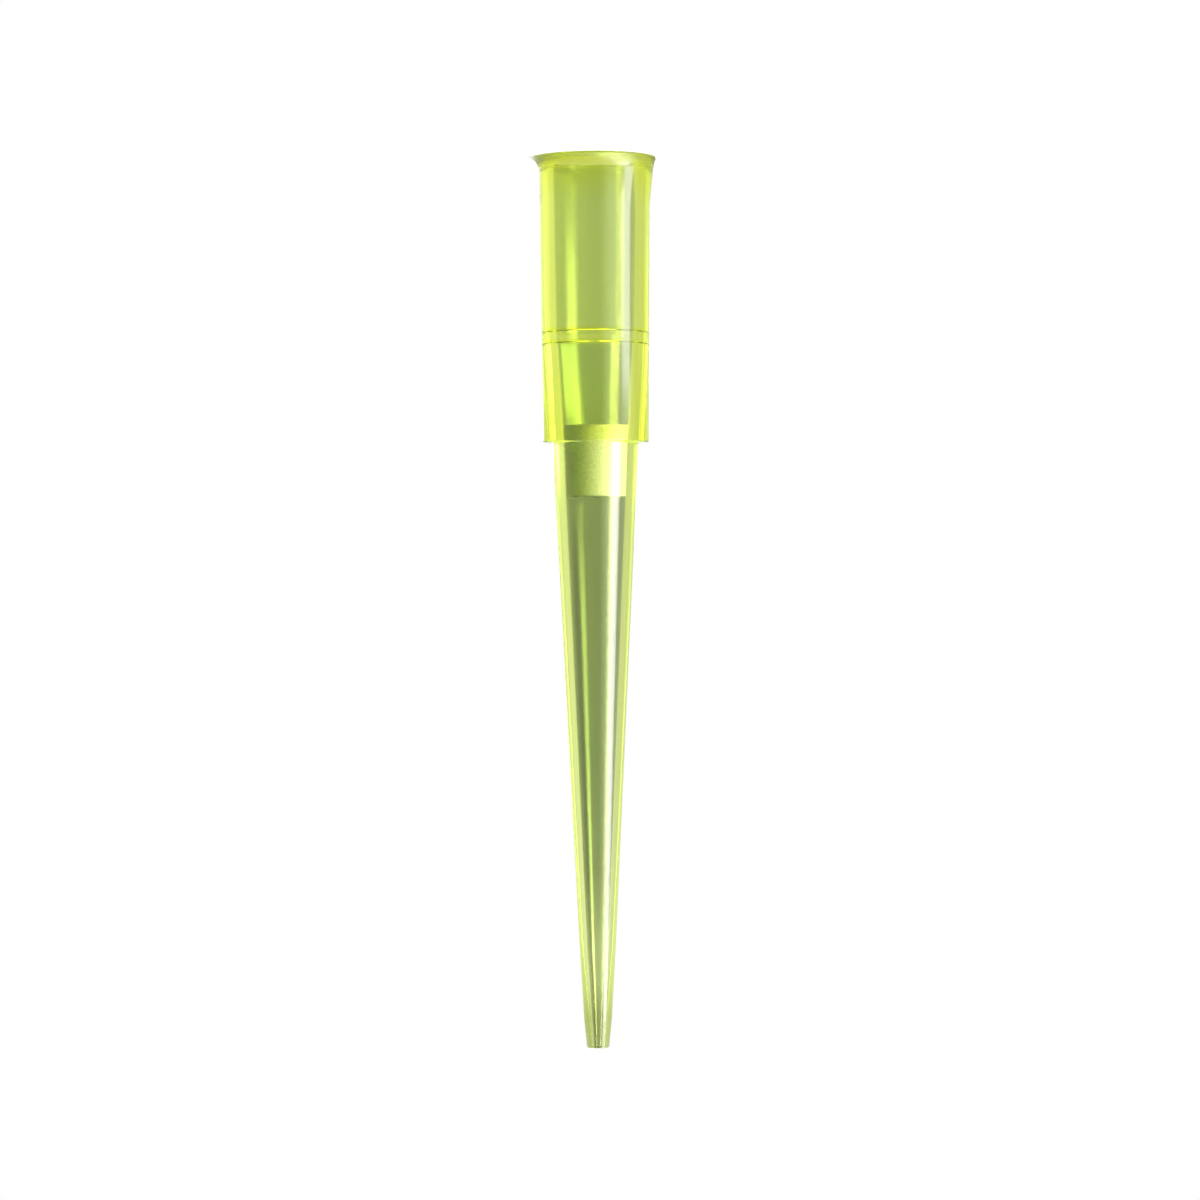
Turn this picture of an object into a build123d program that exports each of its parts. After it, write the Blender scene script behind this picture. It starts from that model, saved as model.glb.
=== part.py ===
from build123d import *

import math
import os

# A disposable filter tip for an air-displacement pipette: one moulded polypropylene body and one
# porous polyethylene plug pushed into its bore. It stands on its rim with the nose up, so heights
# are measured from the rim, which lies in the plane Z = 0. All sizes are in millimetres.

# ---- driving dimensions: overall ----
overall_length = 59.0

# ---- driving dimensions: socket that the pipette's cone is pushed into ----
socket_mouth_diameter = 5.50
socket_seat_diameter = 5.20
socket_depth = 11.57  # rim to the far end of the sealing land
seal_land_length = 1.5  # true cylinder that grips the pipette's cone
seal_ledge = 0.05  # two ledges at 45 degrees narrow the bore behind the land
seal_ledge_spacing = 0.77
seal_ledge_draft = 0.01  # loss of radius from one ledge to the next
mouth_edge_radius = 0.10

# ---- driving dimensions: collar, with its rim at one end and its shoulder at the other ----
collar_wall = 0.93  # at the mouth
collar_height = 18.93  # rim to the shoulder that sits on a rack's deck
collar_draft = 0.0079  # loss of radius for each millimetre of height
rim_overhang = 0.37
rim_lip_thickness = 0.12
rim_lip_edge_radius = 0.05
rim_flare_radius = 1.25
shoulder_edge_radius = 0.14
shoulder_root_radius = 0.06

# ---- driving dimensions: filter plug and the stretch of bore that holds it ----
plug_depth = 17.8  # rim to the plug's near face
plug_length = 4.68
plug_near_diameter = 4.34
plug_far_diameter = 3.98
plug_clearance = 0.0  # pushed in until it grips, so it fits line to line
plug_edge_radius = 0.10

# ---- driving dimensions: liquid channel and barrel ----
neck_length = 6.5  # nose end to where the channel and the barrel narrow faster
channel_neck_diameter = 1.38
orifice_diameter = 0.48
barrel_shoulder_wall = 0.73  # at the shoulder
barrel_neck_wall = 0.50
nose_length = 1.9
nose_base_wall = 0.555
nose_end_wall = 0.49
nose_edge_radius = 0.08

# ---- sizes that follow from the driving dimensions ----
mouth_radius = socket_mouth_diameter / 2
seat_radius = socket_seat_diameter / 2
rim_radius = mouth_radius + collar_wall + rim_overhang
neck_height = overall_length - neck_length
nose_height = overall_length - nose_length

# The bore, from the mouth to the orifice, as (height, radius) where its taper changes.
bore_stations = [
    (0.0, mouth_radius),
    (socket_depth - seal_land_length, seat_radius),
    (socket_depth, seat_radius),
    (socket_depth + seal_ledge, seat_radius - seal_ledge),
    (socket_depth + seal_ledge_spacing, seat_radius - seal_ledge - seal_ledge_draft),
    (socket_depth + seal_ledge_spacing + seal_ledge, seat_radius - 2 * seal_ledge - seal_ledge_draft),
    (plug_depth, plug_near_diameter / 2),
    (plug_depth + plug_length, plug_far_diameter / 2),
    (neck_height, channel_neck_diameter / 2),
    (overall_length, orifice_diameter / 2),
]


def bore_radius(height):
    """Radius of the bore at a height, straight between the stations on each side of it."""
    for (low, low_radius), (high, high_radius) in zip(bore_stations, bore_stations[1:]):
        if height <= high:
            share = (height - low) / (high - low)
            return low_radius + share * (high_radius - low_radius)
    return bore_stations[-1][1]


def collar_radius(height):
    """Outer radius of the drafted collar at a height."""
    return mouth_radius + collar_wall - collar_draft * height


def corner(sketch, radius, height):
    """The sketch's vertex nearest to a radius and a height."""
    return sketch.vertices().sort_by_distance((radius, height, 0))[0]


def flare_arc():
    """Concave arc from the collar out to the lip: its ends and its middle point.

    The arc's centre is level with its inner end, so it leaves the collar almost in line with it.
    """
    reach = rim_radius - collar_radius(0)
    rise = math.sqrt(2 * rim_flare_radius * reach - reach**2)
    start_height = rim_lip_thickness + rise
    start_radius = collar_radius(start_height)
    centre_radius = start_radius + rim_flare_radius
    half_turn = math.asin(rise / rim_flare_radius) / 2
    middle = (
        centre_radius - rim_flare_radius * math.cos(half_turn),
        start_height - rim_flare_radius * math.sin(half_turn),
    )
    return (rim_radius, rim_lip_thickness), middle, (start_radius, start_height)


def make_tip_body():
    """The moulded body: half of its section, turned about Z."""
    lip, flare_middle, flare_top = flare_arc()
    outside = [
        flare_top,
        (collar_radius(collar_height), collar_height),
        (bore_radius(collar_height) + barrel_shoulder_wall, collar_height),
        (bore_radius(neck_height) + barrel_neck_wall, neck_height),
        (bore_radius(nose_height) + nose_base_wall, nose_height),
        (bore_radius(overall_length) + nose_end_wall, overall_length),
    ]
    bore = [(radius, height) for height, radius in reversed(bore_stations)]
    with BuildPart() as body:
        with BuildSketch(Plane.XZ) as section:
            with BuildLine():
                ThreePointArc(lip, flare_middle, flare_top)
                Polyline(*outside, *bore, (rim_radius, 0), lip)
            make_face()
            lip_corner = corner(section, rim_radius, 0)
            fillet(lip_corner, min(rim_lip_edge_radius, rim_lip_thickness / 2))
            mouth_corner = corner(section, mouth_radius, 0)
            fillet(mouth_corner, min(mouth_edge_radius, collar_wall / 2))
            shoulder_width = outside[1][0] - outside[2][0]
            shoulder_edge = corner(section, *outside[1])
            fillet(shoulder_edge, min(shoulder_edge_radius, shoulder_width / 3))
            shoulder_root = corner(section, *outside[2])
            fillet(shoulder_root, min(shoulder_root_radius, shoulder_width / 3))
            nose_corner = corner(section, *outside[-1])
            fillet(nose_corner, min(nose_edge_radius, nose_end_wall / 2))
        revolve(axis=Axis.Z)
    return body.part


def make_filter_plug():
    """The porous plug: a short cone with the bore's own taper, its edges softened."""
    near_height = plug_depth
    far_height = plug_depth + plug_length
    near_radius = bore_radius(near_height) - plug_clearance
    far_radius = bore_radius(far_height) - plug_clearance
    with BuildPart() as plug:
        with BuildSketch(Plane.XZ) as section:
            with BuildLine():
                Polyline(
                    (0, near_height),
                    (near_radius, near_height),
                    (far_radius, far_height),
                    (0, far_height),
                    close=True,
                )
            make_face()
            near_corner = corner(section, near_radius, near_height)
            far_corner = corner(section, far_radius, far_height)
            fillet([near_corner, far_corner], plug_edge_radius)
        revolve(axis=Axis.Z)
    return plug.part


pieces = {
    "tip_body": make_tip_body(),
    "filter_plug": make_filter_plug(),
}

os.makedirs("parts", exist_ok=True)
for name, piece in pieces.items():
    export_step(piece, f"parts/{name}.step")
    print(f"{name}: {piece.volume:.2f} mm3")
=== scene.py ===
"""A disposable filter tip for a laboratory pipette, standing on its rim on a white table.

The tip has two pieces: a moulded body of tinted, translucent polypropylene, and a porous plug of
sintered polyethylene that sits in its bore. Both are surfaces of revolution about Z, worked out
here as outlines of (radius, height) and turned on a grid. Lengths in the classes are in
millimetres and become metres where a mesh is made.
"""

import logging
import math
from dataclasses import dataclass
from enum import Enum
from typing import NamedTuple, Optional, Union

import bpy
import numpy as np
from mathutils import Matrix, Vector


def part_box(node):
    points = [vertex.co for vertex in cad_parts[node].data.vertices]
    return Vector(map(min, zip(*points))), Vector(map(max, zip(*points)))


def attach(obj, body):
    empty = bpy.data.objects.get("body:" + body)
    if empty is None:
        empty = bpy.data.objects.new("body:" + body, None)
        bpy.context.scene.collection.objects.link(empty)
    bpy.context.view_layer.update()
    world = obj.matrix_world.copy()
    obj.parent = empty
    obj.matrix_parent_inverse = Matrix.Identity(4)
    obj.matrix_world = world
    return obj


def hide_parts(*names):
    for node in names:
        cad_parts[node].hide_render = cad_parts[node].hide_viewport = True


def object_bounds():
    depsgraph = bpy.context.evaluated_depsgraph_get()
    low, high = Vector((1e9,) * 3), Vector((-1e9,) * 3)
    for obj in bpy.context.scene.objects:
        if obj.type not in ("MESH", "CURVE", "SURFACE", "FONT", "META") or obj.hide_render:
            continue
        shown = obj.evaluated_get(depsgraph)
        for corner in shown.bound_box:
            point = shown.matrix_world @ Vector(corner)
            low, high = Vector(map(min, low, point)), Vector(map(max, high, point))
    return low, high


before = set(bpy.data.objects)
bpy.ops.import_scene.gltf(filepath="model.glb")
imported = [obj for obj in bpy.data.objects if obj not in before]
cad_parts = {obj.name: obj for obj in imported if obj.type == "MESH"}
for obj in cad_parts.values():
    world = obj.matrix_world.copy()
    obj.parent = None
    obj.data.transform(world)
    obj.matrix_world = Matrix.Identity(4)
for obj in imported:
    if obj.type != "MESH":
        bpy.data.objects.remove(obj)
cad_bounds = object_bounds()

MM = 0.001
CLIP_START = 0.01  # metres from the camera
MAX_BOUNCES = 32
CLEAR_BOUNCES = 24  # a ray through the tip crosses four clear faces, and more inside its walls
log = logging.getLogger("filter_tip")

Setting = Union[float, int, tuple, bpy.types.NodeSocket]


# ---------------------------------------------------------------------------------------------
# Colour and nodes
# ---------------------------------------------------------------------------------------------
def linear(hex_colour: str) -> tuple[float, float, float, float]:
    """Turns an sRGB hex colour into linear light.

    Each channel is divided by 12.92 below 0.04045, and above it raised to the power 2.4 after
    0.055 is added and the sum is divided by 1.055.

    Args:
        hex_colour: Six hex digits, such as "d8ea5c".

    Returns:
        Linear red, green, blue and an alpha of 1.
    """
    channels = [int(hex_colour[i : i + 2], 16) / 255 for i in (0, 2, 4)]
    red, green, blue = (c / 12.92 if c <= 0.04045 else ((c + 0.055) / 1.055) ** 2.4 for c in channels)
    return red, green, blue, 1.0


def add_node(
    tree: bpy.types.NodeTree,
    kind: str,
    inputs: Optional[dict[Union[int, str], Setting]] = None,
    **settings: object,
) -> bpy.types.Node:
    """Adds one node with its settings and links.

    Args:
        tree: The node tree that gets the node.
        kind: The node's type name.
        inputs: Value or source socket for each input, by name or place.
        **settings: The node's own properties.

    Returns:
        The new node.
    """
    node = tree.nodes.new(kind)
    for name, value in settings.items():
        setattr(node, name, value)
    for name, value in (inputs or {}).items():
        if isinstance(value, bpy.types.NodeSocket):
            tree.links.new(value, node.inputs[name])
        else:
            node.inputs[name].default_value = value
    return node


def blank_material(name: str) -> tuple[bpy.types.Material, bpy.types.NodeTree]:
    """Makes a material whose node tree is empty.

    Args:
        name: The material's name.

    Returns:
        The material and its node tree.
    """
    material = bpy.data.materials.new(name)
    material.use_nodes = True
    material.node_tree.nodes.clear()
    return material, material.node_tree


# ---------------------------------------------------------------------------------------------
# Outlines and surfaces of revolution
# ---------------------------------------------------------------------------------------------
class Outline(NamedTuple):
    """Points (radius, height) of a section in millimetres and the unit normals that face out of it."""

    points: np.ndarray
    normals: np.ndarray


def smoothstep(low: float, high: float, values: np.ndarray) -> np.ndarray:
    """Rises from 0 at low to 1 at high as 3t^2 - 2t^3, where t is the share of the way, held to 0..1.

    Args:
        low: Where the rise begins.
        high: Where it ends. It may be below low, for a fall.
        values: The values to shape.

    Returns:
        The shaped values.
    """
    share = np.clip((values - low) / (high - low), 0.0, 1.0)
    return share * share * (3.0 - 2.0 * share)


def rounded_outline(corners: np.ndarray, run_step: float, arc_steps: int, closed: bool) -> Outline:
    """Rounds each corner of a polygon that runs anticlockwise in (radius, height).

    With u and v the unit vectors from a corner to its two neighbours, and b half the angle between
    them, the arc of radius r touches the sides at r / tan(b) from the corner, and its centre lies
    r / sin(b) from it along u + v. The arc's points are the centre plus r times the unit vectors
    that turn evenly from the first touching point's direction to the second's.

    Args:
        corners: Rows of radius, height and rounding radius.
        run_step: Longest step along a straight run.
        arc_steps: Number of steps in each arc.
        closed: True for a closed polygon. An open one keeps its first and last points sharp.

    Returns:
        The outline's points and outward normals.
    """
    place, rounding = corners[:, :2], corners[:, 2]
    inner = slice(None) if closed else slice(1, -1)
    before, after = np.roll(place, 1, axis=0)[inner], np.roll(place, -1, axis=0)[inner]
    middle, radius = place[inner], rounding[inner, None]
    u = (before - middle) / np.linalg.norm(before - middle, axis=1, keepdims=True)
    v = (after - middle) / np.linalg.norm(after - middle, axis=1, keepdims=True)
    half = np.arccos(np.clip((u * v).sum(1, keepdims=True), -1, 1)) / 2
    bisector = (u + v) / np.linalg.norm(u + v, axis=1, keepdims=True)
    centre = middle + bisector * radius / np.sin(half)
    first = middle + u * radius / np.tan(half)
    last = middle + v * radius / np.tan(half)
    start, end = (first - centre) / radius, (last - centre) / radius
    turn = np.pi - 2 * half[:, :, None]
    share = np.linspace(0, 1, arc_steps + 1)[None, :, None]
    from_start = np.sin((1 - share) * turn) * start[:, None]
    from_end = np.sin(share * turn) * end[:, None]
    spokes = (from_start + from_end) / np.sin(turn)
    arcs = centre[:, None] + radius[:, None] * spokes
    convex = np.sign(u[:, 1] * v[:, 0] - u[:, 0] * v[:, 1])
    arc_normals = spokes * convex[:, None, None]

    points, normals = [], []
    ends = [(arcs[i - 1, -1], arcs[i, 0]) for i in range(len(arcs))]
    if not closed:
        ends[0] = (place[0], arcs[0, 0])
        ends.append((arcs[-1, -1], place[-1]))
    for i, (run_start, run_end) in enumerate(ends):
        along = run_end - run_start
        length = np.linalg.norm(along)
        steps = max(1, math.ceil(length / run_step))
        low = 0 if not closed and i == 0 else 1
        high = steps + 1 if not closed and i == len(arcs) else steps
        shares = np.arange(low, high)[:, None] / steps
        points.append(run_start + shares * along)
        normals.append(np.broadcast_to(np.array([along[1], -along[0]]) / length, (high - low, 2)))
        if i < len(arcs):
            points.append(arcs[i])
            normals.append(arc_normals[i])
    return Outline(np.concatenate(points), np.concatenate(normals))


def grid_faces(rings: int, segments: int, closed: bool) -> np.ndarray:
    """Quads of a grid of rings that closes on itself round the axis, facing out.

    Args:
        rings: Number of rings.
        segments: Vertices in each ring.
        closed: True if the last ring joins the first.

    Returns:
        An array of four vertex numbers a face.
    """
    ring = np.arange(rings if closed else rings - 1)[:, None]
    spoke = np.arange(segments)[None, :]
    next_ring, next_spoke = (ring + 1) % rings, (spoke + 1) % segments
    loops = [ring * segments + spoke, ring * segments + next_spoke]
    loops += [next_ring * segments + next_spoke, next_ring * segments + spoke]
    return np.stack(loops, axis=-1).reshape(-1, 4)


def new_mesh_object(
    name: str, vertices: np.ndarray, faces: list[list[int]], normals: Optional[np.ndarray] = None
) -> bpy.types.Object:
    """Makes a smooth mesh object at the origin.

    Args:
        name: Name of the object and its mesh.
        vertices: Places in metres.
        faces: Vertex numbers of each face.
        normals: The surface's true normal at each vertex, or None for Blender's own.

    Returns:
        The new object, in the scene.
    """
    mesh = bpy.data.meshes.new(name)
    mesh.from_pydata(vertices.tolist(), [], faces)
    mesh.update()
    mesh.shade_smooth()
    if normals is not None:
        mesh.normals_split_custom_set_from_vertices(normals.tolist())
    piece = bpy.data.objects.new(name, mesh)
    bpy.context.scene.collection.objects.link(piece)
    return piece


class PointValue(Enum):
    """What an attribute stores at each vertex: Blender's type for it, and the field that holds it."""

    NUMBER = ("FLOAT", "value")
    COLOUR = ("FLOAT_COLOR", "color")


def add_attribute(piece: bpy.types.Object, name: str, values: np.ndarray, kind: PointValue) -> None:
    """Stores one number or one colour a vertex, for the piece's material.

    Args:
        piece: The mesh object.
        name: The attribute's name.
        values: The numbers, or rows of four for colours, in the order of the vertices.
        kind: Whether they are numbers or colours.
    """
    data_type, field = kind.value
    attribute = piece.data.attributes.new(name, data_type, "POINT")
    attribute.data.foreach_set(field, values.astype(np.float32).ravel())


# ---------------------------------------------------------------------------------------------
# Finishes
# ---------------------------------------------------------------------------------------------
@dataclass(frozen=True)
class MouldedPolypropylene:
    """Yellow-tinted polypropylene, injection moulded in a polished cavity over drawn core pins.

    The tint is in the whole wall, so thin walls look pale green, and long paths through the wall,
    along the outline and at the rim and the shoulder, look saturated. The outside is glossy, apart
    from a matt rim. The core pins leave fine lines along the bore. A haze that goes by height tints
    what is seen through each side of the wall: in the bore a little of it is the polypropylene's own
    scatter and most of it is painted shade, darkest over the barrel and lighter at the band between
    the ledges. On the outside it paints the rim a saturated yellow, a painted stand-in for light
    carried along the wall, and greys the nose. Two narrow lines of painted light, a saturated yellow,
    ring the outside level with the socket's ledges, standing in for light that the ledges catch. The
    bore beside the plug is painted with a shade that deepens along X, on the side away from the key
    light.

    Each table of haze and painted light is rows of height in mm and colour. The plug's painted shade
    grows along X, from its start to its end in mm.
    """

    name: str = "moulded_polypropylene_yellow"
    ior: float = 1.49
    tint: str = "fbfc1f"
    tint_density: float = 820.0
    # Painted shade by height in the bore, with a little of the plastic's own haze.
    bore_haze_and_painted_shade: tuple[tuple[float, str], ...] = (
        (11.57, "abb59a"),
        (11.63, "bec4b4"),
        (12.34, "bec4b4"),
        (12.40, "93a386"),
        (16.0, "93a386"),
        (24.0, "7d885d"),
        (40.0, "808b61"),
        (48.0, "8e956f"),
        (54.0, "c3c6aa"),
        (58.0, "aeb096"),
    )
    # Outside: a painted saturated rim, a slight red trim along the wall and a greyer nose.
    outside_tint_and_painted_rim: tuple[tuple[float, str], ...] = (
        (0.40, "e4ee10"),
        (0.90, "ecfa70"),
        (1.50, "f0ffff"),
        (54.0, "f0ffff"),
        (57.0, "cbd8c8"),
    )
    # Painted light: saturated lines on the outside level with the ledges, standing in for light the ledges
    # catch.
    ledge_painted_light: str = "f2ff48"
    ledge_painted_light_reach: float = 0.30
    # Bore beside the plug: white on the key's side, deepening along X into a painted shade on the far side.
    plug_lit_side: str = "ffffff"
    plug_painted_shade: str = "c2dd21"
    plug_painted_shade_start: float = -0.4
    plug_painted_shade_end: float = 1.3
    outside_roughness: float = 0.035
    bore_roughness: float = 0.11
    rim_roughness: float = 0.38
    rim_roughness_height: float = 1.2
    ledge_roughness: float = 0.06
    drawn_line_width: float = 0.22
    drawn_line_length: float = 9.0
    peel_size: float = 0.9
    line_height: float = 0.0010
    peel_height: float = 0.0012
    line_detail: float = 2.0
    peel_detail: float = 1.0

    def haze_and_painted_light_colours(self, height: np.ndarray, bore: np.ndarray) -> np.ndarray:
        """Colour of the haze and painted light on each side of the wall, straight between its stations.

        Args:
            height: Height of each point in mm.
            bore: True for each point of the bore and False for each point of the outside.

        Returns:
            One row of linear red, green, blue and alpha a point.
        """
        sides = []
        for stations in (self.bore_haze_and_painted_shade, self.outside_tint_and_painted_rim):
            places = np.array([place for place, _ in stations])
            shades = np.array([linear(shade) for _, shade in stations])
            sides.append(np.stack([np.interp(height, places, shade) for shade in shades.T], axis=-1))
        return np.where(bore[:, None], *sides)

    def roughness_values(
        self, height: np.ndarray, bore: np.ndarray, band: tuple[float, float]
    ) -> np.ndarray:
        """Roughness of each point: a polished outside with a matt rim, and a drawn bore.

        Args:
            height: Height of each point in mm.
            bore: True for each point of the bore and False for each point of the outside.
            band: Lowest and highest height in mm of the smoother band that the bore's ledges lie in.

        Returns:
            One number a point.
        """
        plain = np.where(bore, self.bore_roughness, self.outside_roughness)
        in_band = bore & (height > band[0]) & (height < band[1])
        plain = np.where(in_band, self.ledge_roughness, plain)
        rim = 1 - smoothstep(self.rim_roughness_height / 3, self.rim_roughness_height, height)
        rim = np.where(bore, 0.0, rim)
        return plain + rim * (self.rim_roughness - plain)

    def painted_ledge_lines(
        self, tree: bpy.types.NodeTree, height: bpy.types.NodeSocket, ledges: tuple[float, float]
    ) -> bpy.types.NodeSocket:
        """1 level with either ledge, falling smoothly to 0 at the painted light's reach.

        The distance to the nearer ledge is | |z - m| - s |, where m is the height half way between
        the ledges and s is half of their spacing.

        Args:
            tree: The node tree to build in.
            height: The socket that carries the height in metres.
            ledges: Heights in mm of the bore's two ledges.

        Returns:
            The socket that carries the number.
        """
        middle, half_spacing = sum(ledges) / 2 * MM, (ledges[1] - ledges[0]) / 2 * MM
        from_middle = add_node(
            tree, "ShaderNodeMath", {0: height, 1: middle}, operation="SUBTRACT"
        ).outputs[0]
        to_middle = add_node(tree, "ShaderNodeMath", {0: from_middle}, operation="ABSOLUTE").outputs[0]
        past_ledge = add_node(
            tree, "ShaderNodeMath", {0: to_middle, 1: half_spacing}, operation="SUBTRACT"
        ).outputs[0]
        to_ledge = add_node(tree, "ShaderNodeMath", {0: past_ledge}, operation="ABSOLUTE").outputs[0]
        return add_node(
            tree,
            "ShaderNodeMapRange",
            {"Value": to_ledge, "From Max": self.ledge_painted_light_reach * MM, "To Min": 1.0, "To Max": 0.0},
            interpolation_type="SMOOTHSTEP",
        ).outputs[0]

    def surface_colour(
        self,
        tree: bpy.types.NodeTree,
        place: bpy.types.NodeSocket,
        ledges: tuple[float, float],
        plug: tuple[float, float],
    ) -> bpy.types.NodeSocket:
        """Colour of the light that the surface lets through.

        It is the haze and painted light, with the ledges' painted lines over it on the outside, and in
        the bore beside the plug a white that deepens along X into a painted shade.

        Args:
            tree: The node tree to build in.
            place: The socket that carries the place in metres.
            ledges: Heights in mm of the bore's two ledges.
            plug: Heights in mm of the plug's two faces.

        Returns:
            The socket that carries the colour.
        """
        # The haze attribute carries haze and painted light: painted shade in the bore, a painted saturated
        # rim outside.
        haze = add_node(tree, "ShaderNodeAttribute", attribute_name="haze").outputs["Color"]
        in_bore = add_node(tree, "ShaderNodeAttribute", attribute_name="bore").outputs["Fac"]
        parts = add_node(tree, "ShaderNodeSeparateXYZ", {0: place}).outputs
        height = parts["Z"]

        outside = add_node(tree, "ShaderNodeMath", {0: 1.0, 1: in_bore}, operation="SUBTRACT").outputs[0]
        # Painted light: the saturated lines level with the ledges, on the outside only.
        ledge_light_share = self.painted_ledge_lines(tree, height, ledges)
        ledge_light_outside = add_node(tree, "ShaderNodeMath", {0: ledge_light_share, 1: outside}, operation="MULTIPLY").outputs[0]
        wall = add_node(
            tree, "ShaderNodeMix", {0: ledge_light_outside, 6: haze, 7: linear(self.ledge_painted_light)}, data_type="RGBA"
        ).outputs[2]

        # Painted shade: beside the plug the bore deepens in colour along X, away from the key light.
        past_start = add_node(
            tree, "ShaderNodeMath", {0: height, 1: plug[0] * MM}, operation="GREATER_THAN"
        ).outputs[0]
        before_end = add_node(
            tree, "ShaderNodeMath", {0: height, 1: plug[1] * MM}, operation="LESS_THAN"
        ).outputs[0]
        at_plug = add_node(
            tree, "ShaderNodeMath", {0: past_start, 1: before_end}, operation="MULTIPLY"
        ).outputs[0]
        touched = add_node(tree, "ShaderNodeMath", {0: at_plug, 1: in_bore}, operation="MULTIPLY").outputs[0]
        painted_shade_share = add_node(
            tree,
            "ShaderNodeMapRange",
            {
                "Value": parts["X"],
                "From Min": self.plug_painted_shade_start * MM,
                "From Max": self.plug_painted_shade_end * MM,
            },
            interpolation_type="SMOOTHSTEP",
        ).outputs[0]
        plug_painted_shade_colour = add_node(
            tree,
            "ShaderNodeMix",
            {0: painted_shade_share, 6: linear(self.plug_lit_side), 7: linear(self.plug_painted_shade)},
            data_type="RGBA",
        ).outputs[2]
        return add_node(
            tree, "ShaderNodeMix", {0: touched, 6: wall, 7: plug_painted_shade_colour}, data_type="RGBA"
        ).outputs[2]

    def surface_bump(self, tree: bpy.types.NodeTree, place: bpy.types.NodeSocket) -> bpy.types.NodeSocket:
        """Fine lines drawn along the tip, and over them the slight waviness of a moulded skin.

        Both are noise. The lines' noise is squeezed along Z by their width over their length, which
        stretches it that way.

        Args:
            tree: The node tree to build in.
            place: The socket that carries the place in metres.

        Returns:
            The socket that carries the normal.
        """
        squeeze = self.drawn_line_width / self.drawn_line_length
        stretched = add_node(
            tree, "ShaderNodeMapping", {"Vector": place, "Scale": (1.0, 1.0, squeeze)}
        ).outputs[0]
        line_scale, peel_scale = 1 / (self.drawn_line_width * MM), 1 / (self.peel_size * MM)
        lines = add_node(
            tree,
            "ShaderNodeTexNoise",
            {"Vector": stretched, "Scale": line_scale, "Detail": self.line_detail},
        ).outputs[0]
        peel = add_node(
            tree, "ShaderNodeTexNoise", {"Vector": place, "Scale": peel_scale, "Detail": self.peel_detail}
        ).outputs[0]
        line_bump = add_node(
            tree, "ShaderNodeBump", {"Strength": 1.0, "Distance": self.line_height * MM, "Height": lines}
        ).outputs[0]
        return add_node(
            tree,
            "ShaderNodeBump",
            {"Strength": 1.0, "Distance": self.peel_height * MM, "Height": peel, "Normal": line_bump},
        ).outputs[0]

    def material(self, ledges: tuple[float, float], plug: tuple[float, float]) -> bpy.types.Material:
        """Builds the material.

        Args:
            ledges: Heights in mm of the bore's two ledges.
            plug: Heights in mm of the plug's two faces. Between them the plug touches the bore, and
            the bore takes the plug's painted shade in place of its haze.

        Returns:
            The material.
        """
        material, tree = blank_material(self.name)
        place = add_node(tree, "ShaderNodeTexCoord").outputs["Object"]
        roughness = add_node(tree, "ShaderNodeAttribute", attribute_name="matt").outputs["Fac"]
        shader = add_node(
            tree,
            "ShaderNodeBsdfPrincipled",
            {
                "Base Color": self.surface_colour(tree, place, ledges, plug),
                "Roughness": roughness,
                "IOR": self.ior,
                "Transmission Weight": 1.0,
                "Normal": self.surface_bump(tree, place),
            },
        )
        absorption = add_node(
            tree, "ShaderNodeVolumeAbsorption", {"Color": linear(self.tint), "Density": self.tint_density}
        )
        add_node(
            tree,
            "ShaderNodeOutputMaterial",
            {"Surface": shader.outputs[0], "Volume": absorption.outputs[0]},
        )
        return material


@dataclass(frozen=True)
class SinteredPolyethylene:
    """Off-white porous polyethylene: fine beads fused at their contacts, with open pores between."""

    name: str = "sintered_polyethylene_white"
    bead_size: float = 0.16
    # Colour at the beads' middles, and the painted shade of the pores between them.
    light: str = "fbfaf4"
    shade: str = "e4e3d6"
    ior: float = 1.5
    roughness: float = 0.75
    bump_strength: float = 0.3
    bump_share: float = 0.2  # of a bead's size

    def material(self) -> bpy.types.Material:
        """Builds the material.

        Returns:
            The material.
        """
        material, tree = blank_material(self.name)
        place = add_node(tree, "ShaderNodeTexCoord").outputs["Object"]
        beads = add_node(tree, "ShaderNodeTexVoronoi", {"Vector": place, "Scale": 1 / (self.bead_size * MM)})
        # The colour darkens away from each bead's middle: painted shade in the pores between the beads.
        colour = add_node(
            tree,
            "ShaderNodeMix",
            {0: beads.outputs["Distance"], 6: linear(self.light), 7: linear(self.shade)},
            data_type="RGBA",
        ).outputs[2]
        bump = add_node(
            tree,
            "ShaderNodeBump",
            {
                "Strength": self.bump_strength,
                "Distance": self.bead_size * self.bump_share * MM,
                "Height": beads.outputs["Distance"],
            },
            invert=True,
        ).outputs[0]
        shader = add_node(
            tree,
            "ShaderNodeBsdfPrincipled",
            {
                "Base Color": colour,
                "Roughness": self.roughness,
                "IOR": self.ior,
                "Normal": bump,
            },
        )
        add_node(tree, "ShaderNodeOutputMaterial", {"Surface": shader.outputs[0]})
        return material


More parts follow.
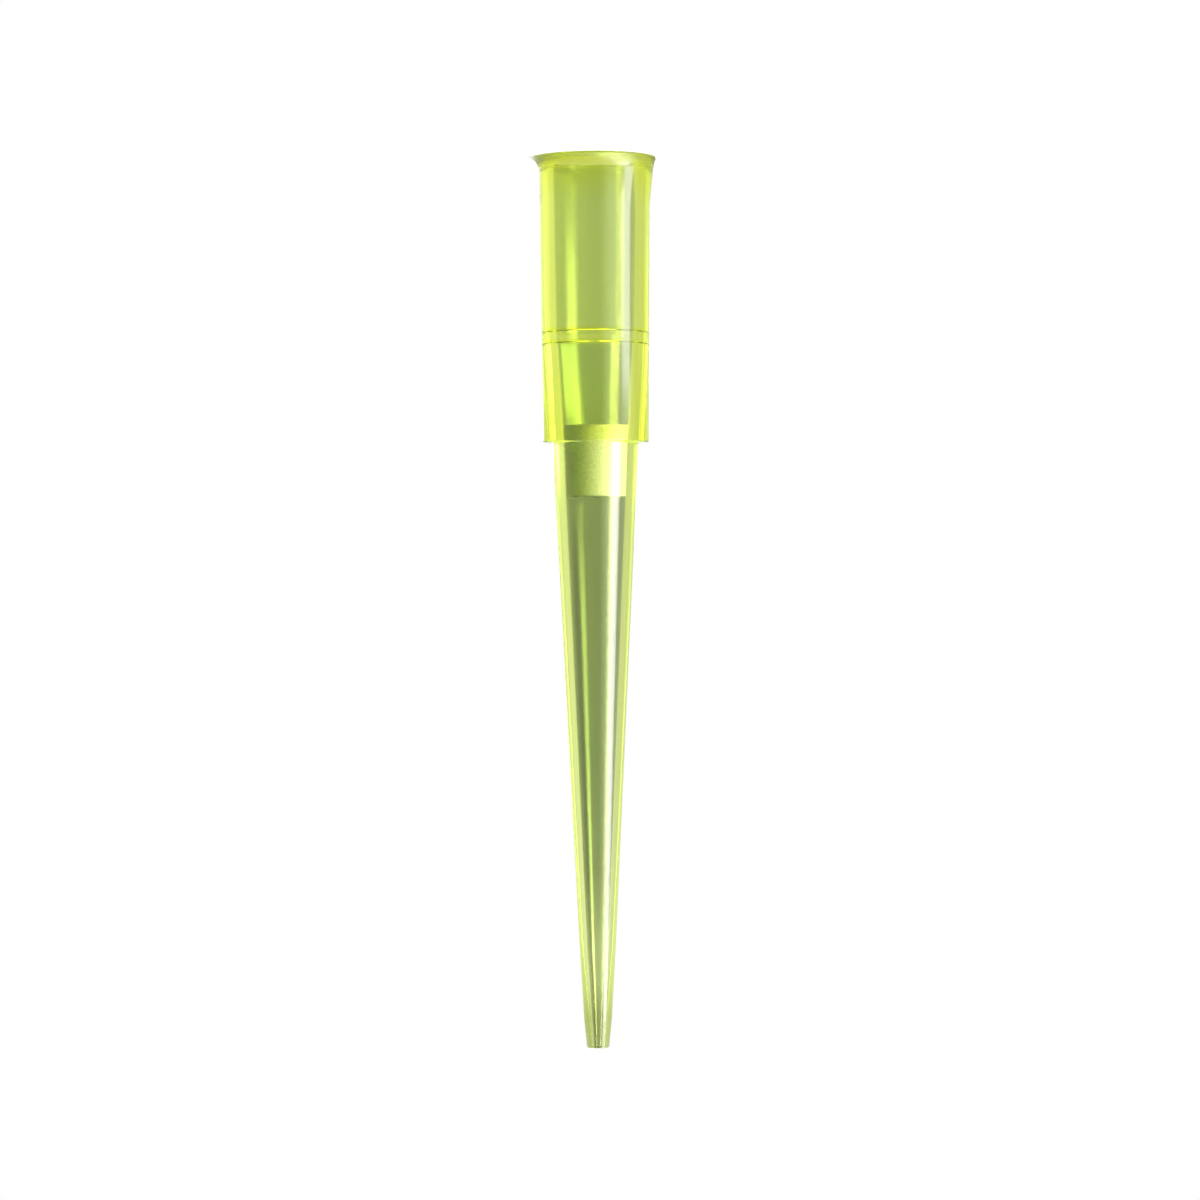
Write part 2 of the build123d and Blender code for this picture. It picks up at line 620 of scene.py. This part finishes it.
# ---------------------------------------------------------------------------------------------
# The two pieces
# ---------------------------------------------------------------------------------------------
@dataclass
class TipBody:
    """The moulded body: a flared rim, a collar that ends in a shoulder, a barrel and a stepped bore.

    The last fields are radii that round the outline's corners, the large ones where two tapers meet.
    The rim's bulge swells it a little on the side towards -X.
    """

    length: float
    rim_radius: float
    mouth_radius: float = 2.75
    seat_radius: float = 2.60
    socket_depth: float = 11.57
    seal_land_length: float = 1.5
    ledge: float = 0.05
    ledge_spacing: float = 0.77
    ledge_draft: float = 0.01
    collar_radius: float = 3.68
    collar_height: float = 18.93
    collar_draft: float = 0.0079
    lip_thickness: float = 0.12
    flare_radius: float = 1.25
    rim_bulge: float = 0.21
    rim_bulge_height: float = 0.9
    plug_depth: float = 17.8
    plug_length: float = 4.68
    plug_near_radius: float = 2.17
    plug_far_radius: float = 1.99
    neck_length: float = 6.5
    channel_neck_radius: float = 0.69
    orifice_radius: float = 0.24
    shoulder_wall: float = 0.73
    neck_wall: float = 0.50
    nose_length: float = 1.9
    nose_base_wall: float = 0.555
    nose_end_wall: float = 0.49
    segments: int = 384
    lip_edges: tuple[float, float] = (0.05, 0.02)
    shoulder_edge: float = 0.14
    shoulder_root: float = 0.06
    barrel_blends: tuple[float, float] = (20.0, 6.0)
    nose_edge: float = 0.08
    bore_edges: tuple[float, ...] = (0.10, 2.0, 0.02, 0.02, 0.02, 0.02, 10.0, 10.0, 8.0, 0.03)

    def bore_stations(self) -> np.ndarray:
        """Works out where the bore's taper changes, from the mouth to the orifice.

        Returns:
            Rows of height and radius.
        """
        after_first = self.seat_radius - self.ledge
        before_second = after_first - self.ledge_draft
        return np.array(
            [
                (0.0, self.mouth_radius),
                (self.socket_depth - self.seal_land_length, self.seat_radius),
                (self.socket_depth, self.seat_radius),
                (self.socket_depth + self.ledge, after_first),
                (self.socket_depth + self.ledge_spacing, before_second),
                (self.socket_depth + self.ledge_spacing + self.ledge, before_second - self.ledge),
                (self.plug_depth, self.plug_near_radius),
                (self.plug_depth + self.plug_length, self.plug_far_radius),
                (self.length - self.neck_length, self.channel_neck_radius),
                (self.length, self.orifice_radius),
            ]
        )

    def bore_radius(self, height: float) -> float:
        """Radius of the bore at a height, straight between its stations."""
        stations = self.bore_stations()
        return float(np.interp(height, stations[:, 0], stations[:, 1]))

    def collar_radius_at(self, height: float) -> float:
        """Radius of the drafted collar at a height."""
        return self.collar_radius - self.collar_draft * height

    def outline(self) -> Outline:
        """Works out half of the body's section, anticlockwise from the lip.

        Returns:
            The rounded outline.
        """
        reach = self.rim_radius - self.collar_radius
        rise = math.sqrt(2 * self.flare_radius * reach - reach**2)
        lean = math.asin(rise / self.flare_radius)
        flare_height = self.lip_thickness + reach / math.tan(lean)
        neck, nose = self.length - self.neck_length, self.length - self.nose_length
        outside = [
            (self.rim_radius, 0.0, self.lip_edges[0]),
            (self.rim_radius, self.lip_thickness, self.lip_edges[1]),
            (self.collar_radius_at(flare_height), flare_height, self.flare_radius),
            (self.collar_radius_at(self.collar_height), self.collar_height, self.shoulder_edge),
            (
                self.bore_radius(self.collar_height) + self.shoulder_wall,
                self.collar_height,
                self.shoulder_root,
            ),
            (self.bore_radius(neck) + self.neck_wall, neck, self.barrel_blends[0]),
            (self.bore_radius(nose) + self.nose_base_wall, nose, self.barrel_blends[1]),
            (self.orifice_radius + self.nose_end_wall, self.length, self.nose_edge),
        ]
        stations = zip(self.bore_stations(), self.bore_edges)
        bore = [(radius, height, edge) for (height, radius), edge in stations]
        return rounded_outline(np.array(outside + bore[::-1]), run_step=2.5, arc_steps=5, closed=True)

    def surface(self, outline: Outline) -> tuple[np.ndarray, np.ndarray]:
        """Turns the outline about Z: (radius, height) becomes (radius cos a, radius sin a, height).

        The rim's bulge adds b s^2 e^(2 - 2s) to the outer radius, times the square of how far the
        point faces -X. Here b is the bulge and s the height as a share of the bulge's own height,
        where it is full. The normals lean by the slope of that sum, along the height and round the
        axis.

        Args:
            outline: Half of the body's section.

        Returns:
            The vertices in mm and their normals, ring by ring.
        """
        angle = np.linspace(0, 2 * np.pi, self.segments, endpoint=False)
        radius, height = outline.points[:, :1], outline.points[:, 1:]
        out, up = outline.normals[:, :1], outline.normals[:, 1:]
        outside = (out > 0) & (height > 0)
        share = height / self.rim_bulge_height
        swell = np.where(outside, self.rim_bulge * np.exp(2 - 2 * share), 0.0)
        bulge = swell * share**2
        bulge_slope = swell * (2 * share - 2 * share**2) / self.rim_bulge_height
        faces_side = np.clip(-np.cos(angle), 0, None)
        side = faces_side**2
        side_slope = 2 * faces_side * np.sin(angle)
        skewed = radius + bulge * side
        vertices = np.stack([skewed * np.cos(angle), skewed * np.sin(angle), height + 0 * angle], axis=-1)
        around = -out * bulge * side_slope / radius
        facing = np.stack(
            [
                out * np.cos(angle) - around * np.sin(angle),
                out * np.sin(angle) + around * np.cos(angle),
                up - out * bulge_slope * side,
            ],
            axis=-1,
        )
        facing /= np.linalg.norm(facing, axis=-1, keepdims=True)
        return vertices.reshape(-1, 3), facing.reshape(-1, 3)

    def build(self, finish: MouldedPolypropylene) -> bpy.types.Object:
        """Makes the body and dresses it.

        The bore is the part of the outline that faces the axis more than it faces up or down, so the
        flat faces of the rim and the nose count as outside.

        Args:
            finish: The plastic's finish.

        Returns:
            The body's object.
        """
        outline = self.outline()
        vertices, facing = self.surface(outline)
        faces = grid_faces(len(outline.points), self.segments, closed=True).tolist()
        piece = new_mesh_object("moulded_body", vertices * MM, faces, facing)

        faces_axis = outline.normals[:, 0] < -0.5
        within_mouth = outline.points[:, 0] < self.mouth_radius + self.bore_edges[0]
        bore = np.repeat(faces_axis & within_mouth, self.segments)
        heights = np.repeat(outline.points[:, 1], self.segments)
        ledges = (self.socket_depth, self.socket_depth + self.ledge_spacing)
        band = (ledges[0] - self.ledge, ledges[1] + 2 * self.ledge)
        add_attribute(piece, "matt", finish.roughness_values(heights, bore, band), PointValue.NUMBER)
        # Haze and painted light by height: painted shade in the bore, a painted saturated rim outside.
        add_attribute(piece, "haze", finish.haze_and_painted_light_colours(heights, bore), PointValue.COLOUR)
        add_attribute(piece, "bore", bore, PointValue.NUMBER)
        plug = (self.plug_depth, self.plug_depth + self.plug_length)
        piece.data.materials.append(finish.material(ledges, plug))
        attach(piece, "root")
        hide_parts("tip_body")
        return piece


@dataclass
class FilterPlug:
    """The porous plug, a short cone with the bore's own taper, held a hair inside the wall.

    Its far face is ragged by the sum of a few waves round the axis, each with a size, a number of
    crests and a phase.
    """

    near_height: float
    far_height: float
    near_radius: float = 2.17
    far_radius: float = 1.99
    air_gap: float = 0.025
    edge_radius: float = 0.10
    ragged: float = 0.16
    waves: tuple[tuple[float, int, float], ...] = ((1.0, 3, 1.0), (0.6, 7, 2.0), (0.4, 13, 0.0))
    segments: int = 256

    def build(self, finish: SinteredPolyethylene) -> bpy.types.Object:
        """Turns the plug's outline about Z and closes both ends at a pole.

        Args:
            finish: The foam's finish.

        Returns:
            The plug's object.
        """
        near, far = self.near_radius - self.air_gap, self.far_radius - self.air_gap
        corners = [
            (0.0, self.near_height, self.edge_radius),
            (near, self.near_height, self.edge_radius),
            (far, self.far_height, self.edge_radius),
            (0.0, self.far_height, self.edge_radius),
        ]
        outline = rounded_outline(np.array(corners), run_step=0.07, arc_steps=5, closed=False)
        points = outline.points[1:-1]
        angle = np.linspace(0, 2 * np.pi, self.segments, endpoint=False)
        turn = np.stack([np.cos(angle), np.sin(angle)], axis=-1)
        rings = np.concatenate(
            [
                points[:, None, :1] * turn,
                np.broadcast_to(points[:, None, 1:], (len(points), self.segments, 1)),
            ],
            axis=-1,
        )
        ripple = sum(size * np.sin(crests * angle + phase) for size, crests, phase in self.waves)
        at_end = smoothstep(self.far_height - 4 * self.ragged, self.far_height, rings[:, :, 2])
        rings[:, :, 2] += self.ragged * at_end * (ripple / 2 + 0.5) * points[:, :1] / far
        rings = rings.reshape(-1, 3)
        poles = np.array([(0, 0, self.near_height), (0, 0, self.far_height)])
        quads = grid_faces(len(points), self.segments, closed=False).tolist()
        spoke = np.arange(self.segments)
        following = (spoke + 1) % self.segments
        first_pole, last_ring = len(rings), len(rings) - self.segments
        near_fan = np.stack([np.full_like(spoke, first_pole), following, spoke], axis=-1)
        far_fan = np.stack(
            [np.full_like(spoke, first_pole + 1), last_ring + spoke, last_ring + following], axis=-1
        )
        piece = new_mesh_object(
            "filter_plug_foam",
            np.concatenate([rings, poles]) * MM,
            quads + near_fan.tolist() + far_fan.tolist(),
        )
        piece.data.materials.append(finish.material())
        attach(piece, "root")
        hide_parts("filter_plug")
        return piece


# ---------------------------------------------------------------------------------------------
# Studio
# ---------------------------------------------------------------------------------------------
@dataclass(frozen=True)
class LightPanel:
    """A soft panel or flag on a sphere round the tip, feathered to nothing at its edges.

    A panel gives light and hides nothing. A flag gives none and holds back a share of what is
    behind it, which draws a thin line along the edge of clear plastic.

    Azimuth is counted from the camera's side, and grows to the camera's right. Each pair of edges
    gives where the glow starts and where it is full, in degrees. The distance is a share of the
    sphere's radius.
    """

    name: str
    radiance: float
    left: tuple[float, float]
    right: tuple[float, float]
    bottom: tuple[float, float]
    top: tuple[float, float]
    held_back: float = 0.0
    distance: float = 1.0
    columns: int = 41
    rows: int = 33

    def build(self, sphere_radius: float, centre_height: float) -> bpy.types.Object:
        """Makes the panel: a patch of a sphere whose glow is the product of four smooth edges.

        Args:
            sphere_radius: The sphere's radius in metres.
            centre_height: Height of the sphere's centre in metres.

        Returns:
            The panel's object.
        """
        distance = sphere_radius * self.distance
        azimuth = np.linspace(self.left[0], self.right[0], self.columns)[:, None]
        elevation = np.linspace(self.bottom[0], self.top[0], self.rows)[None, :]
        glow = smoothstep(*self.left, azimuth) * smoothstep(*self.right, azimuth)
        glow = glow * smoothstep(*self.bottom, elevation) * smoothstep(*self.top, elevation)
        across, up = np.radians(azimuth), np.radians(elevation)
        x = -np.sin(across) * np.cos(up) * distance
        y = -np.cos(across) * np.cos(up) * distance
        z = centre_height + np.sin(up) * distance * np.ones_like(across)
        vertices = np.stack([x, y, z], axis=-1)
        number = np.arange(self.columns * self.rows).reshape(self.columns, self.rows)
        faces = np.stack([number[:-1, :-1], number[1:, :-1], number[1:, 1:], number[:-1, 1:]], axis=-1)
        panel = new_mesh_object(self.name, vertices.reshape(-1, 3), faces.reshape(-1, 4).tolist())
        add_attribute(panel, "glow", glow, PointValue.NUMBER)
        material, tree = blank_material(self.name)
        share = add_node(tree, "ShaderNodeAttribute", attribute_name="glow").outputs["Fac"]
        strength = add_node(tree, "ShaderNodeMath", {0: share, 1: self.radiance}, operation="MULTIPLY")
        light = add_node(tree, "ShaderNodeEmission", {"Strength": strength.outputs[0]})
        passed = add_node(
            tree, "ShaderNodeMapRange", {"Value": share, "To Min": 1.0, "To Max": 1.0 - self.held_back}
        ).outputs[0]
        clear = add_node(tree, "ShaderNodeBsdfTransparent", {"Color": passed})
        both = add_node(tree, "ShaderNodeAddShader", {0: light.outputs[0], 1: clear.outputs[0]})
        add_node(tree, "ShaderNodeOutputMaterial", {"Surface": both.outputs[0]})
        panel.data.materials.append(material)
        panel.visible_camera = False
        panel.visible_shadow = False
        return panel


@dataclass
class Studio:
    """A white table in white surroundings, with soft panels of light, faint flags and one camera.

    The table keeps a shadow close to the rim only, and fades to plain white between two distances
    from the axis. The camera stands a little to one side of the axis and below the tip's middle.
    """

    panel_distance: float = 0.30
    fill_light: float = 0.20
    table_radius: float = 0.27
    table_colour: str = "f4f4f2"
    table_fade: tuple[float, float] = (3.8, 4.5)
    lens: float = 120.0
    frame_width: float = 79.56
    sideways: float = -0.25
    drop: float = 0.15
    roll: float = 0.24

    def panels(self) -> list[LightPanel]:
        """The key on the camera's right, strips behind the tip, light from above and below, and flags.

        Returns:
            The panels and flags.
        """
        # Name, radiance, then the left, right, bottom and top edges.
        lights = [
            ("key_panel", 13.5, (40.0, 50.0), (75.0, 65.0), (-4.5, 0.5), (25.0, 18.5)),
            ("key_foot_panel", 8.5, (52.0, 64.0), (82.0, 76.0), (-30.0, -12.0), (-3.8, -5.6)),
            ("front_right_panel", 2.0, (8.0, 40.0), (104.0, 70.0), (-70.0, -40.0), (80.0, 60.0)),
            ("front_top_panel", 9.0, (18.0, 44.0), (100.0, 66.0), (22.0, 36.0), (85.0, 65.0)),
            ("collar_strip_panel", 1.9, (-174.6, -171.8), (-164.5, -169.0), (-10.5, -7.0), (-6.4, -7.6)),
            ("collar_side_panel", 0.35, (-173.0, -168.0), (-138.0, -152.0), (-14.5, -11.0), (-5.5, -7.5)),
            ("cone_strip_panel", 2.2, (-174.8, -173.8), (-170.0, -171.4), (-3.0, 0.0), (25.0, 12.0)),
            ("right_strip_panel", 0.7, (169.0, 171.0), (175.0, 173.5), (-8.0, -6.4), (0.0, -3.0)),
            ("overhead_panel", 2.0, (-180.0, -179.9), (180.0, 179.9), (50.0, 64.0), (90.0, 89.9)),
            ("underside_panel", 0.7, (-180.0, -179.9), (180.0, 179.9), (-90.0, -89.9), (-30.0, -45.0)),
        ]
        # Name, share held back, then the same four edges.
        flags = [
            ("left_flag", 0.13, (-172.0, -166.0), (-112.0, -124.0), (-14.0, -9.0), (25.0, 12.0)),
            ("stripe_flag", 0.4, (-170.0, -167.5), (-158.0, -161.5), (-2.4, -1.0), (25.0, 12.0)),
            ("right_flag", 0.3, (108.0, 122.0), (172.0, 166.0), (-25.0, -10.0), (25.0, 12.0)),
        ]
        # This one stands so near that it is seen through the lower collar and not through the barrel.
        near_edges = ((-172.5, -169.5), (-143.0, -153.0), (-21.5, -13.5), (-9.4, -10.7))
        near_strip = LightPanel("lower_strip_panel", 2.7, *near_edges, distance=0.2)
        panels = [LightPanel(name, radiance, *edges) for name, radiance, *edges in lights]
        panels += [LightPanel(name, 0.0, *edges, held_back=share) for name, share, *edges in flags]
        return panels + [near_strip]

    def shown_ray(self, tree: bpy.types.NodeTree) -> bpy.types.NodeSocket:
        """1 for rays that show the background, straight or by way of glass or gloss, and otherwise 0.

        Args:
            tree: The node tree to build in.

        Returns:
            The socket that carries the number.
        """
        path = add_node(tree, "ShaderNodeLightPath")
        first = add_node(
            tree,
            "ShaderNodeMath",
            {0: path.outputs["Is Camera Ray"], 1: path.outputs["Is Glossy Ray"]},
            operation="MAXIMUM",
        ).outputs[0]
        second = add_node(
            tree, "ShaderNodeMath", {0: first, 1: path.outputs["Is Transmission Ray"]}, operation="MAXIMUM"
        ).outputs[0]
        direct = add_node(
            tree, "ShaderNodeMath", {0: path.outputs["Diffuse Depth"], 1: 0.5}, operation="LESS_THAN"
        ).outputs[0]
        return add_node(tree, "ShaderNodeMath", {0: second, 1: direct}, operation="MULTIPLY").outputs[0]

    def build_world(self) -> None:
        """White at strength 1 where the background shows, and a plain fill light for the rest."""
        world = bpy.data.worlds.new("white_surroundings")
        world.use_nodes = True
        tree = world.node_tree
        tree.nodes.clear()
        shown = self.shown_ray(tree)
        strength = add_node(
            tree, "ShaderNodeMapRange", {"Value": shown, "To Min": self.fill_light, "To Max": 1.0}
        ).outputs[0]
        background = add_node(tree, "ShaderNodeBackground", {"Color": (1, 1, 1, 1), "Strength": strength})
        add_node(tree, "ShaderNodeOutputWorld", {"Surface": background.outputs[0]})
        world.cycles.sampling_method = "NONE"
        bpy.context.scene.world = world

    def build_table(self) -> bpy.types.Object:
        """A round white table top whose far part fades into the white surroundings.

        Returns:
            The table's object.
        """
        rings = np.linspace(0, self.table_radius, 25)[1:]
        angle = np.linspace(0, 2 * np.pi, 96, endpoint=False)
        x, y = rings[:, None] * np.cos(angle), rings[:, None] * np.sin(angle)
        vertices = np.stack([x, y, np.zeros_like(x)], axis=-1).reshape(-1, 3)
        faces = grid_faces(len(rings), len(angle), closed=False)[:, ::-1].tolist() + [list(range(len(angle)))]
        table = new_mesh_object("table_top", vertices, faces)
        material, tree = blank_material("white_laminate")
        place = add_node(tree, "ShaderNodeTexCoord").outputs["Object"]
        distance = add_node(tree, "ShaderNodeVectorMath", {0: place}, operation="LENGTH").outputs["Value"]
        fade_start, fade_end = self.table_fade
        fade = add_node(
            tree,
            "ShaderNodeMapRange",
            {"Value": distance, "From Min": fade_start * MM, "From Max": fade_end * MM},
            interpolation_type="SMOOTHSTEP",
        ).outputs[0]
        shown = self.shown_ray(tree)
        share = add_node(tree, "ShaderNodeMath", {0: fade, 1: shown}, operation="MULTIPLY").outputs[0]
        matte = add_node(tree, "ShaderNodeBsdfDiffuse", {"Color": linear(self.table_colour)})
        white = add_node(tree, "ShaderNodeEmission", {"Color": (1, 1, 1, 1), "Strength": 1.0})
        mix = add_node(tree, "ShaderNodeMixShader", {0: share, 1: matte.outputs[0], 2: white.outputs[0]})
        add_node(tree, "ShaderNodeOutputMaterial", {"Surface": mix.outputs[0]})
        table.data.materials.append(material)
        table.visible_glossy = False
        table.visible_transmission = False
        return table

    def build_camera(self, middle_height: float) -> bpy.types.Object:
        """A level camera in front of the tip, rolled by half a turn so that the rim is at the top.

        Args:
            middle_height: Height of the camera in metres.

        Returns:
            The camera's object.
        """
        data = bpy.data.cameras.new("camera")
        data.lens = self.lens
        data.clip_start = CLIP_START
        camera = bpy.data.objects.new("camera", data)
        bpy.context.scene.collection.objects.link(camera)
        distance = data.lens * self.frame_width / data.sensor_width * MM
        camera.location = (self.sideways * MM, -distance, middle_height)
        camera.rotation_euler = (math.radians(90), math.radians(180 + self.roll), 0)
        bpy.context.scene.camera = camera
        return camera

    def build(self) -> None:
        """Makes the table, the lights, the surroundings and the camera."""
        low, high = cad_bounds
        middle = (low.z + high.z) / 2
        self.build_camera(middle - self.drop * MM)
        self.build_world()
        self.build_table()
        for panel in self.panels():
            panel.build(self.panel_distance, middle)


def main() -> None:
    """Builds the studio and the two pieces, and reports each one."""
    logging.basicConfig(level=logging.INFO, format="%(name)s: %(message)s")
    scene = bpy.context.scene
    scene.view_settings.view_transform = "Standard"
    scene.cycles.max_bounces = MAX_BOUNCES
    scene.cycles.glossy_bounces = CLEAR_BOUNCES
    scene.cycles.transmission_bounces = CLEAR_BOUNCES
    scene.cycles.transparent_max_bounces = CLEAR_BOUNCES

    Studio().build()
    _, body_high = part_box("tip_body")
    plug_low, plug_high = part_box("filter_plug")
    body = TipBody(length=body_high.z / MM, rim_radius=body_high.x / MM)
    plug = FilterPlug(near_height=plug_low.z / MM, far_height=plug_high.z / MM)
    for piece in (body.build(MouldedPolypropylene()), plug.build(SinteredPolyethylene())):
        log.info("%s: %d faces", piece.name, len(piece.data.polygons))


if __name__ == "__main__":
    main()
